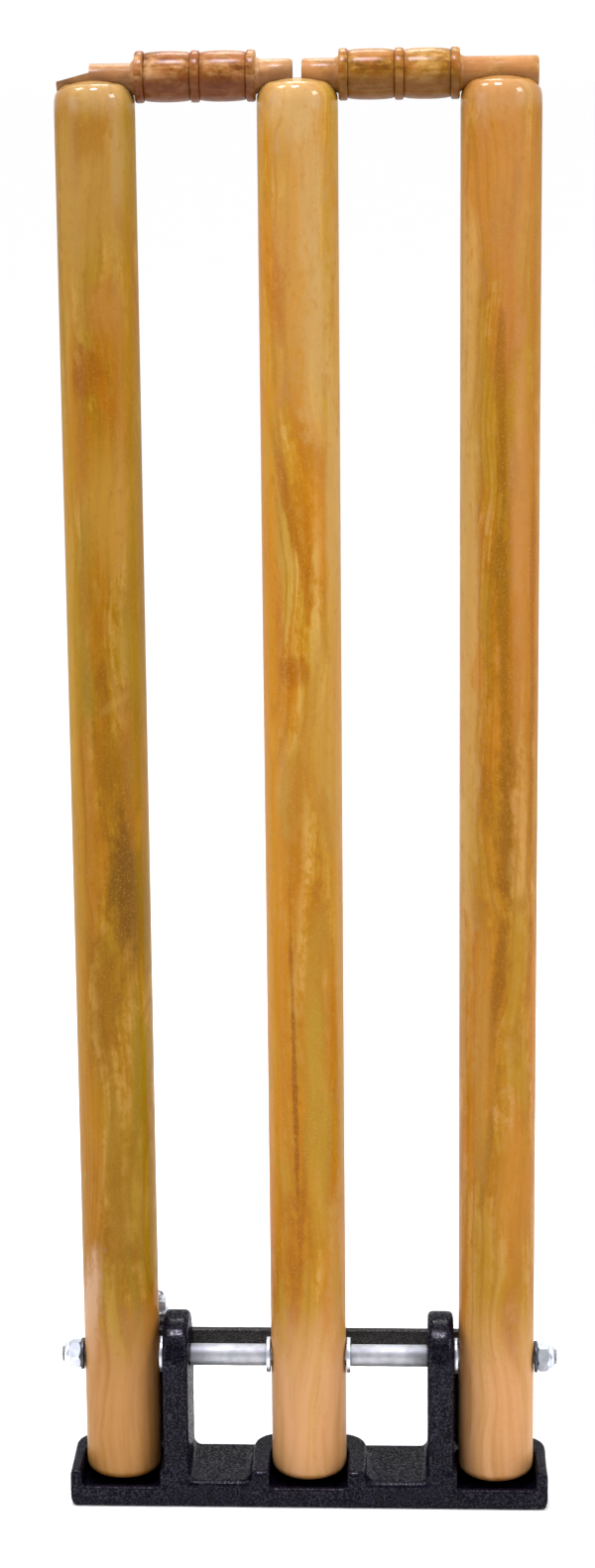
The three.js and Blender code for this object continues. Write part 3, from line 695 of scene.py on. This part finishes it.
def stump():
    """One stump, standing at the middle of the wicket."""
    shoulder_width = 6 * mm
    crown_radius = stump_radius - shoulder_width
    foot = 12 * mm
    foot_rounding = 4.5 * mm
    shoulder = 699.5 * mm
    shoulder_height = 9.3 * mm
    rise = 2.2 * mm
    dome_radius = (crown_radius**2 + rise**2) / (2 * rise)
    dome_edge = math.acos(crown_radius / dome_radius)
    foot_centre = (stump_radius - foot_rounding, foot + foot_rounding)
    outline = arc(foot_centre, (foot_rounding,) * 2, -quarter, 0, 8)
    outline += [(stump_radius, station * mm) for station in shaft_stations]
    outline += arc((crown_radius, shoulder), (shoulder_width, shoulder_height), 0, quarter, 14)
    outline += arc((0, wicket_height - dome_radius), (dome_radius,) * 2, dome_edge, quarter, 8)[1:]
    outline[-1] = (0, wicket_height)
    piece = turned("stump", outline, sides=112)
    groove = along_x(rod("groove", groove_radius, -cutter_reach, cutter_reach, sides=64))
    moved(groove, place=(0, 0, bail_height))
    combined(piece, groove, "DIFFERENCE")
    bore = along_x(rod("bore", bore_radius, -cutter_reach, cutter_reach, sides=48))
    moved(bore, place=(0, 0, axle_height))
    combined(piece, bore, "DIFFERENCE")
    pilot = rod("pilot", pilot_radius, 0, cutter_reach, sides=24)
    moved(pilot, place=(screw_eye_offset, pilot_end, screw_eye_height), turn=(-quarter, 0, 0))
    combined(piece, pilot, "DIFFERENCE")
    return smoothed(piece, 38)


plain_stump = stump()
for side, place in stump_places.items():
    piece = copied(plain_stump, f"stump_{side}_turned", place=(place, 0, 0))
    dress(piece, stump_finishes[side])
    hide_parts(f"stump_{side}")
    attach(piece, f"{side}_stump")
print("stump:", count_of(plain_stump), "triangles")
bpy.data.objects.remove(plain_stump)

# %% [markdown]
# ## The bails
#
# Each bail has a short spigot that shares the middle stump's groove, a barrel between two stumps, and
# a long spigot across the outer stump. Three raised beads ring the barrel, with a gentle swell
# between them. The outline goes on the lathe, and the left bail is the same turning swung round to
# point the other way. Its long spigot is worn flatter, and a chip has split off the top of the outer
# end, so a cube with a sloping underside cuts that away.


# %% Bails
def bail():
    """The right bail, with its rings and both spigots."""
    spigot = 7.6 * mm
    bead = 12 * mm
    bead_width = 4.3 * mm
    bead_rounding = 1.1 * mm
    tip = 2.2 * mm
    outer_tip = 112.5 * mm
    neck = 10.65 * mm
    bulge = 1.1 * mm
    swell = (barrel_end - barrel_start - 3 * bead_width) / 2
    end_rounding = [(spigot - 1.2 * mm, 0), (spigot - 0.35 * mm, 0.35 * mm), (spigot, 1.2 * mm)]
    flare = [(spigot, -2.2 * mm), (spigot + 0.5 * mm, -0.8 * mm), (spigot + 1.4 * mm, 0)]
    outline = [(radius, tip + place) for radius, place in end_rounding]
    outline += [(spigot, tip + 8 * mm)]
    outline += [(radius, barrel_start + place) for radius, place in flare]
    for i in range(3):
        start = barrel_start + i * (bead_width + swell)
        end = start + bead_width
        outline += arc((bead - bead_rounding, start + bead_rounding), (bead_rounding,) * 2, -quarter, 0, 4)
        outline += arc((bead - bead_rounding, end - bead_rounding), (bead_rounding,) * 2, 0, quarter, 4)
        if i < 2:
            middle = end + swell / 2
            outline += arc((neck, middle), (bulge, swell / 2), -quarter, quarter, 16)
    outline += [(radius, barrel_end - place) for radius, place in reversed(flare)]
    outline += [(spigot, 94 * mm)]
    outline += [(radius, outer_tip - place) for radius, place in reversed(end_rounding)]
    piece = along_x(turned("bail", outline, sides=72))
    return smoothed(moved(piece, place=(0, 0, bail_height)), 32)


worn_from = -77 * mm
worn_share = 0.15
chip_size = (20 * mm, 30 * mm, 10 * mm)
chip_place = (-107 * mm, 0, 719 * mm)
chip_slope = 0.26


def worn(piece):
    """Flattens the top of the long spigot on the left, and chips its outer end."""
    for vertex in piece.data.vertices:
        rise = vertex.co.z - bail_height
        if rise > 0 and vertex.co.x < worn_from:
            vertex.co.z -= rise * worn_share
    lay_aside()
    bpy.ops.mesh.primitive_cube_add(size=1, location=chip_place, scale=chip_size)
    chip = settle(bpy.context.object, "chip")
    inner_end = chip_place[0] + chip_size[0] / 2
    for vertex in chip.data.vertices:
        if vertex.co.z < chip_place[2]:
            vertex.co.z += (vertex.co.x - inner_end) * chip_slope
    return smoothed(combined(piece, chip, "DIFFERENCE"), 32)


plain_bail = bail()
print("bail:", count_of(plain_bail), "triangles")
for side, turn in (("right", 0), ("left", math.pi)):
    piece = copied(plain_bail, f"bail_{side}_turned", turn=(0, 0, turn))
    if side == "left":
        worn(piece)
    dress(piece, bail_finishes[side])
    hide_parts(f"bail_{side}")
    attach(piece, f"{side}_bail")
bpy.data.objects.remove(plain_bail)

# %% [markdown]
# ## The casting and the stop bar
#
# Both are iron poured in sand. The mould leaves no sharp edge: every outer corner is rounded, every
# inner corner has a fillet, and no face is quite flat. Bevelling each edge by hand would take long and
# still look machined. Instead a copy of the solid is merged into one skin and remeshed into small even
# squares, a smoothing modifier melts the edges, and a slight displacement gives the uneven sand face.


# %% Casting and bar
def cast_from(node, name, voxel, melt, unevenness):
    """A cast version of a solid: a copy that is merged, remeshed, melted at its edges and uneven."""
    piece = copied(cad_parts[node], name)
    # The copy is a free piece, so it drops its parent and the solid's own labels.
    piece.parent = None
    for key in list(piece.keys()):
        del piece[key]
    bpy.ops.object.mode_set(mode="EDIT")
    bpy.ops.mesh.select_all(action="SELECT")
    bpy.ops.mesh.remove_doubles(threshold=0.01 * mm)
    bpy.ops.object.mode_set(mode="OBJECT")
    modify(piece, "REMESH", mode="VOXEL", voxel_size=voxel)
    modify(piece, "SMOOTH", factor=0.5, iterations=melt)
    sand = bpy.data.textures.new(name + "_sand", "CLOUDS")
    sand.noise_scale = 11 * mm
    sand.noise_depth = 2
    modify(piece, "DISPLACE", texture=sand, strength=unevenness, mid_level=0.5)
    take(piece)
    bpy.ops.object.shade_smooth()
    print(f"{name}: {count_of(piece)} triangles")
    return piece


web_sides = (75.2 * mm, 79 * mm)
web_front = 17 * mm
web_foot = 21 * mm
web_shift = 1.1 * mm

casting = cast_from("base_casting", "base_casting_cast", voxel=0.95 * mm, melt=7, unevenness=0.3 * mm)
# The web outside each ear is drawn out a little towards its stump, and the underside is kept flat.
for vertex in casting.data.vertices:
    x, y, z = vertex.co
    if web_sides[0] < abs(x) < web_sides[1] and y > web_front and z > web_foot:
        x += math.copysign(web_shift, x)
    vertex.co = (x, y, max(z, 0.0))
stop_bar = cast_from("stop_bar", "stop_bar_cast", voxel=0.75 * mm, melt=4, unevenness=0.2 * mm)
for piece, node, paint in ((casting, "base_casting", cast_iron), (stop_bar, "stop_bar", lit_bar_iron)):
    dress(piece, paint)
    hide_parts(node)
    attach(piece, "base")

# %% [markdown]
# ## The axle and what is threaded on it
#
# One 8 mm rod runs through all three stumps and both ears. It is threaded at its ends for the lock
# nuts. The order from the middle outwards is: stump, washer, spacer tube, ear, washer, stump, dark
# washer, nut. Every ring is a lathe outline that runs round its wall and closes on itself.


# %% Axle
thread_margin = 0.75 * mm
rings_per_turn = 6


def threaded_rod(name, start, end, threads, sides=40):
    """A rod with chamfered ends and a thread on each (from, to) stretch."""
    chamfer = 0.7 * mm
    pitch_length = 1.25 * mm
    depth = 0.55 * mm
    outline = [(axle_radius - chamfer, start), (axle_radius, start + chamfer)]
    for low, high in threads:
        steps = round((high - low) / pitch_length * rings_per_turn)
        outline += [(axle_radius, low + (high - low) * i / steps) for i in range(steps + 1)]
    outline += [(axle_radius, end - chamfer), (axle_radius - chamfer, end)]
    piece = turned(name, outline, sides)
    for low, high in threads:
        cut_thread(piece, low, high, pitch_length, depth)
    return smoothed(piece, 50)


axle_end = 126.1 * mm
thread_start = 112 * mm
thread_end = axle_end - thread_margin
axle_threads = [(-thread_end, -thread_start), (thread_start, thread_end)]
axle = threaded_rod("axle_threaded", -axle_end, axle_end, axle_threads)
moved(along_x(axle), place=(0, 0, axle_height))
dress(axle, zinc)
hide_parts("axle_rod")
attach(axle, "base")
print("axle:", count_of(axle), "triangles")


# %% Washers and tubes
def ring(name, outer, inner, start, end, edge=0.3 * mm, sides=56):
    """A round washer or tube along Z, with its outer edges rounded off."""
    outline = [(inner, start), (outer - edge, start), (outer - edge * 0.3, start + edge * 0.3)]
    outline += [(outer, start + edge), (outer, end - edge)]
    outline += [(outer - edge * 0.3, end - edge * 0.3), (outer - edge, end), (inner, end)]
    return smoothed(turned(name, outline, sides, bored=True), 40)


def on_axle(piece, node):
    """Lays a twin of the piece on each side of the axle, and hides the solid's part that each one takes
    the place of.
    """
    moved(along_x(piece), place=(0, 0, axle_height))
    for side, turn in (("right", 0), ("left", math.pi)):
        twin = copied(piece, f"{node}_{side}_fine", turn=(0, 0, turn))
        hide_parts(f"{node}_{side}")
        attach(twin, "base")
    bpy.data.objects.remove(piece)


nut_seat = 116.2 * mm
axle_rings = (
    ("spacer_tube", 5.5 * mm, 21.65 * mm, 60.2 * mm, zinc, "zinc_plate"),
    ("centre_washer", 9 * mm, 19.35 * mm, 21.35 * mm, zinc_turned, "zinc_plate"),
    ("ear_washer", 9 * mm, 73.9 * mm, 75.9 * mm, zinc_turned, "zinc_plate"),
    ("nut_washer", 8 * mm, 114.6 * mm, nut_seat, dark_steel, "dark_steel"),
)
for node, radius, start, end, plating, slot in axle_rings:
    piece = ring(node, radius, bore_radius, start, end)
    print(f"{node}: {count_of(piece)} triangles")
    on_axle(dress(piece, plating), node)

# %% [markdown]
# ## Lock nuts and bolts
#
# A nut is a hexagon whose corners are turned off at a slant. The quickest true way is the machinist's:
# take a six-sided bar and meet it with a chamfered turning. The collar that grips the nylon insert is
# turned and joined on, and the insert is a ring of its own material inside the collar.


# %% Nuts
def hexagon_block(name, width, height, chamfer=1.0 * mm, outer_chamfer=None):
    """A hexagonal block on the ground plane, its corners turned off at both ends."""
    corner = width / math.sqrt(3)
    outside = corner * 1.02
    face = width / 2 * 0.97
    far = outer_chamfer or chamfer
    far_face = min(face, outside - far * 0.9)
    middle = (0, 0, height / 2)
    lay_aside()
    bpy.ops.mesh.primitive_cylinder_add(vertices=6, radius=corner, depth=height * 1.5, location=middle)
    piece = settle(bpy.context.object, name)
    slant = [(face, 0), (outside, chamfer), (outside, height - far), (far_face, height)]
    return combined(piece, turned("turning", slant, 64), "INTERSECT")


def lock_nut():
    """A lock nut that stands on the ground plane, with the insert in its collar."""
    nut_width = 13 * mm
    hex_height = 6.2 * mm
    collar_root = hex_height - 1.2 * mm
    shoulder = 6.5 * mm
    top = 8.5 * mm
    collar_radius = 5.8 * mm
    rounding = 1.2 * mm
    piece = hexagon_block("nut", nut_width, hex_height, outer_chamfer=1.7 * mm)
    outline = [(collar_radius, collar_root)]
    outline += arc((collar_radius - rounding, shoulder), (rounding, top - shoulder), 0, quarter, 10)
    combined(piece, turned("collar", outline, 64), "UNION")
    combined(piece, rod("bore", bore_radius, -5 * mm, 20 * mm, 48), "DIFFERENCE")
    dress(piece, zinc_turned, nut_insert)
    for face in piece.data.polygons:
        on_top = face.center.z > top - 0.3 * mm and face.normal.z > 0.7
        face.material_index = 1 if on_top else 0
    return smoothed(piece, 30)


plain_nut = lock_nut()
print("lock nut:", count_of(plain_nut), "triangles")
nut_turn = math.radians(8)
axle_nut = copied(plain_nut, "axle_nut", place=(0, 0, nut_seat), turn=(0, 0, nut_turn))
on_axle(axle_nut, "axle_nut")

# %% [markdown]
# ## The springs and what holds them
#
# Behind each stump an eye bolt hangs from a lug of the stop bar, set by a lock nut on a washer. A
# screw eye is let into the stump's back, low down, and a coil spring pulls the two together, which
# keeps the foot against the pocket's wall and so the stump upright. An eye is a torus joined to a
# threaded shank. The spring is one wire: a curve with a round bevel, turned into a mesh.

# %% Eye bolts, their nuts and washers
lug_offsets = {"left": 13.1 * mm, "middle": 8.6 * mm, "right": 8.6 * mm}
eye_bolt_place = 41.9 * mm
eye_height = 59.4 * mm
eye_ring = 5.2 * mm
eye_wire_radius = 2.2 * mm
shank_thread = 70 * mm
shank_end = 89.8 * mm
lug_top = 79.6 * mm
adjuster_seat = lug_top + 1.6 * mm


def eye(name, ring_radius, wire_radius):
    """A round eye whose hole runs along X."""
    lay_aside()
    bpy.ops.mesh.primitive_torus_add(
        major_radius=ring_radius, minor_radius=wire_radius, major_segments=48, minor_segments=20,
        rotation=(0, quarter, 0),
    )
    return settle(bpy.context.object, name)


bolt = moved(eye("eye_bolt", eye_ring, eye_wire_radius), place=(0, 0, eye_height))
shank_start = eye_height + eye_ring - 0.8 * mm
shank = threaded_rod("shank", shank_start, shank_end, [(shank_thread, shank_end - thread_margin)])
combined(bolt, shank, "UNION")
smoothed(bolt, 50)
dress(bolt, zinc_turned)
adjuster_washer = ring("adjuster_washer", 8 * mm, bore_radius, lug_top, adjuster_seat)
dress(adjuster_washer, zinc_turned)
plain_parts = (
    (bolt, "eye_bolt", 0.0),
    (adjuster_washer, "adjuster_washer", 0.0),
    (plain_nut, "adjuster_nut", adjuster_seat),
)
for side, place in stump_places.items():
    for piece, node, height in plain_parts:
        spot = (place + lug_offsets[side], eye_bolt_place, height)
        fine = copied(piece, f"{node}_{side}_fine", place=spot)
        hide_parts(f"{node}_{side}")
        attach(fine, "base")
for piece, node, height in plain_parts:
    print(f"{node}: {count_of(piece)} triangles")
    bpy.data.objects.remove(piece)

# %% Screw eyes
screw_eye_place = 23.3 * mm
screw_ring = 4.2 * mm
screw_wire_radius = 1.5 * mm
screw_start = screw_ring - 0.5 * mm
screw_end = screw_ring + 13.5 * mm

screw_eye = eye("screw_eye", screw_ring, screw_wire_radius)
screw_shank = rod("screw_shank", screw_wire_radius, screw_start, screw_end, 24, chamfer=0.6 * mm)
moved(screw_shank, turn=(quarter, 0, 0))
combined(screw_eye, screw_shank, "UNION")
smoothed(screw_eye, 50)
dress(screw_eye, zinc_turned)
for side, place in stump_places.items():
    spot = (place + screw_eye_offset, screw_eye_place, screw_eye_height)
    fine = copied(screw_eye, f"screw_eye_{side}_fine", place=spot)
    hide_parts(f"screw_eye_{side}")
    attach(fine, f"{side}_stump")
print("screw eye:", count_of(screw_eye), "triangles")
bpy.data.objects.remove(screw_eye)

# %% Springs
spring_wire = 1.8 * mm
coil_radius = 5.1 * mm
curls = 7
curl_steps = 24
hook_gap = 0.3 * mm
lead = 1.6 * mm
hook_start = -0.75 * math.pi
hook_sweep = 1.25 * math.pi
hook_steps = 16


def hook(radius, side):
    """Most of a turn round an eye's wire, from the open end to the side where the lead starts."""
    angles = [hook_start + hook_sweep * i / hook_steps for i in range(hook_steps + 1)]
    points = [Vector((side * radius * math.sin(a), 0, -radius * math.cos(a))) for a in angles]
    straight = (points[0] - points[1]).normalized() * spring_wire
    return [points[0] + straight] + points


def spring_route(span):
    """The wire's middle line, from the lower hook up through the coil to the upper hook."""
    low_hook = screw_wire_radius + spring_wire / 2 + hook_gap
    high_hook = eye_wire_radius + spring_wire / 2 + hook_gap
    coil_start = low_hook + lead
    coil_length = span - low_hook - high_hook - 2 * lead
    side = -1 if curls % 2 else 1
    steps = curls * curl_steps
    coil = []
    for i in range(steps + 1):
        angle = math.tau * (i / curl_steps - curls / 2)
        height = coil_start + coil_length * i / steps
        coil.append(Vector((coil_radius * math.cos(angle), coil_radius * math.sin(angle), height)))
    upper = [Vector((p.x, -p.y, span - p.z)) for p in hook(high_hook, side)]
    return hook(low_hook, side) + coil + upper[::-1]


def spring(lug_offset):
    """Gives a spring at the middle stump, and the two points between which its wire runs."""
    low = Vector((screw_eye_offset, screw_eye_place, screw_eye_height))
    high = Vector((lug_offset, eye_bolt_place, eye_height))
    pull = Vector((0, high.y - low.y, high.z - low.z)).normalized()
    start = low + pull * screw_ring
    end = high - pull * eye_ring
    along = (end - start).normalized()
    across = Vector((1, 0, 0))
    across = (across - along * across.dot(along)).normalized()
    back = along.cross(across)
    route = [start + across * p.x + back * p.y + along * p.z for p in spring_route((end - start).length)]
    lay_aside()
    bpy.ops.curve.primitive_nurbs_path_add()
    piece = bpy.context.object
    line = piece.data
    line.splines.clear()
    spline = line.splines.new("NURBS")
    spline.points.add(len(route) - 1)
    for point, place in zip(spline.points, route):
        point.co = (*place, 1)
    spline.order_u = 4
    spline.use_endpoint_u = True
    line.dimensions = "3D"
    line.resolution_u = 2
    line.bevel_depth = spring_wire / 2
    line.bevel_resolution = 3
    line.use_fill_caps = True
    take(piece)
    bpy.ops.object.convert(target="MESH")
    piece = bpy.context.object
    settle(piece, "spring")
    bpy.ops.object.mode_set(mode="EDIT")
    bpy.ops.mesh.select_all(action="SELECT")
    bpy.ops.mesh.remove_doubles(threshold=0.001 * mm)
    bpy.ops.mesh.normals_make_consistent(inside=False)
    bpy.ops.object.mode_set(mode="OBJECT")
    return smoothed(piece, 60), start, end


for side, place in stump_places.items():
    coil, spring_low, spring_high = spring(lug_offsets[side])
    shift = Vector((place, 0, 0))
    coil.name = f"return_spring_{side}_fine"
    moved(coil, place=shift)
    dress(coil, spring_steel)
    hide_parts(f"return_spring_{side}")
    spring_high + shift
    spring_low + shift
    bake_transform(coil)
    print(f"{coil.name}: {count_of(coil)} triangles")

# %% [markdown]
# ## The bolts of the stop bar
#
# Two hexagon bolts hold the bar against the seats on the backs of the ears. Only their heads show,
# from behind.


# %% Bar bolts
bar_bolt_offset = 67.05 * mm
bar_bolt_place = 32.35 * mm
bar_bolt_height = 63.4 * mm


def bar_bolt():
    """A hexagon bolt whose head points back, away from the bowler."""
    piece = hexagon_block("bar_bolt", 10 * mm, 4 * mm, 0.8 * mm)
    combined(piece, rod("bolt_shank", 3 * mm, -19 * mm, 1 * mm, 32, chamfer=0.5 * mm), "UNION")
    moved(piece, turn=(-quarter, 0, 0))
    return smoothed(piece, 30)


plain_bolt = bar_bolt()
dress(plain_bolt, dark_steel)
for side, place in (("left", -bar_bolt_offset), ("right", bar_bolt_offset)):
    spot = (place, bar_bolt_place, bar_bolt_height)
    fine = copied(plain_bolt, f"bar_bolt_{side}_fine", place=spot)
    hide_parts(f"bar_bolt_{side}")
    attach(fine, "base")
print("bar bolt:", count_of(plain_bolt), "triangles")
bpy.data.objects.remove(plain_bolt)

# %% [markdown]
# ## The stage
#
# A plain white floor that runs out to the horizon, in a white room. The room isn't equally bright all
# round: most light comes from above and from behind the wicket, and the side where the photographer
# stands is dimmer. That is what leaves the middle of a round stump darker than its edges. Two wide
# tall lamps draw the pale upright streaks in the varnish. A lamp overhead makes the cast iron
# sparkle, and three more are placed where a crown mirrors them as small bright spots.

# %% Floor
floor_reach = 60
lay_aside()
bpy.ops.mesh.primitive_circle_add(vertices=96, radius=floor_reach, fill_type="NGON")
floor = settle(bpy.context.object, "studio_floor")
floor_finish = Finish("studio_floor", Roughness=1.0, Specular_IOR_Level=0.0)
mottle = floor_finish.noise(floor_finish.place(), scale=3.0)
floor_white = floor_finish.mix(mottle, (0.94, 0.94, 0.94), (0.95, 0.95, 0.95))
dress(floor, floor_finish.wear(Base_Color=floor_white))

# %% Room
front_light = 0.42
back_gain = 0.60
ceiling_gain = 0.45

room = bpy.data.worlds.new("studio_room")
room.use_nodes = True
scene.world = room
scene.view_settings.view_transform = "Standard"
walls = Nodes(room.node_tree)
direction = walls.node("TexCoord", {}, output="Generated")
backward = walls.node("MapRange", {
    "Value": walls.node("SeparateXYZ", {0: direction}, output="Y"),
    "From Min": -0.7, "From Max": 0.5, "To Min": front_light, "To Max": front_light + back_gain,
})
upward = walls.node("MapRange", {
    "Value": walls.node("SeparateXYZ", {0: direction}, output="Z"),
    "From Min": 0.2, "From Max": 0.9, "To Min": 0.0, "To Max": ceiling_gain,
})
surround = room.node_tree.nodes["Background"]
surround.inputs["Color"].default_value = (1.0, 1.0, 1.0, 1)
walls.feed(surround.inputs["Strength"], backward + upward)
print("stage:", floor.name, room.name)


# %% Lamps
def lamp(name, place, target, width, height, watts, colour=(1.0, 1.0, 1.0)):
    """A soft lamp that faces its target."""
    lay_aside()
    bpy.ops.object.light_add(type="AREA", location=place)
    made = bpy.context.object
    made.name = name
    made.data.shape = "RECTANGLE"
    made.data.size = width
    made.data.size_y = height
    made.data.energy = watts
    made.data.color = colour
    made.rotation_euler = (Vector(target) - Vector(place)).to_track_quat("-Z", "Y").to_euler()


wicket_middle = (0, 0, 0.36)
crowns = (0, 0, 0.71)
lamp("tall_lamp_left", (-1.3, -0.75, 0.5), wicket_middle, 0.8, 1.7, 7)
lamp("tall_lamp_right", (1.25, -0.85, 0.5), wicket_middle, 0.7, 1.7, 6)
lamp("overhead_lamp", (-0.1, -0.45, 2.2), wicket_middle, 0.35, 0.35, 27, colour=(0.86, 0.8, 1.0))
lamp("crown_lamp_left", (-0.75, -0.12, 2.0), crowns, 0.38, 0.38, 9)
lamp("crown_lamp_back", (-0.05, 0.96, 1.86), crowns, 0.38, 0.38, 7)
lamp("crown_lamp_right", (1.11, -0.67, 1.46), crowns, 0.38, 0.38, 8)
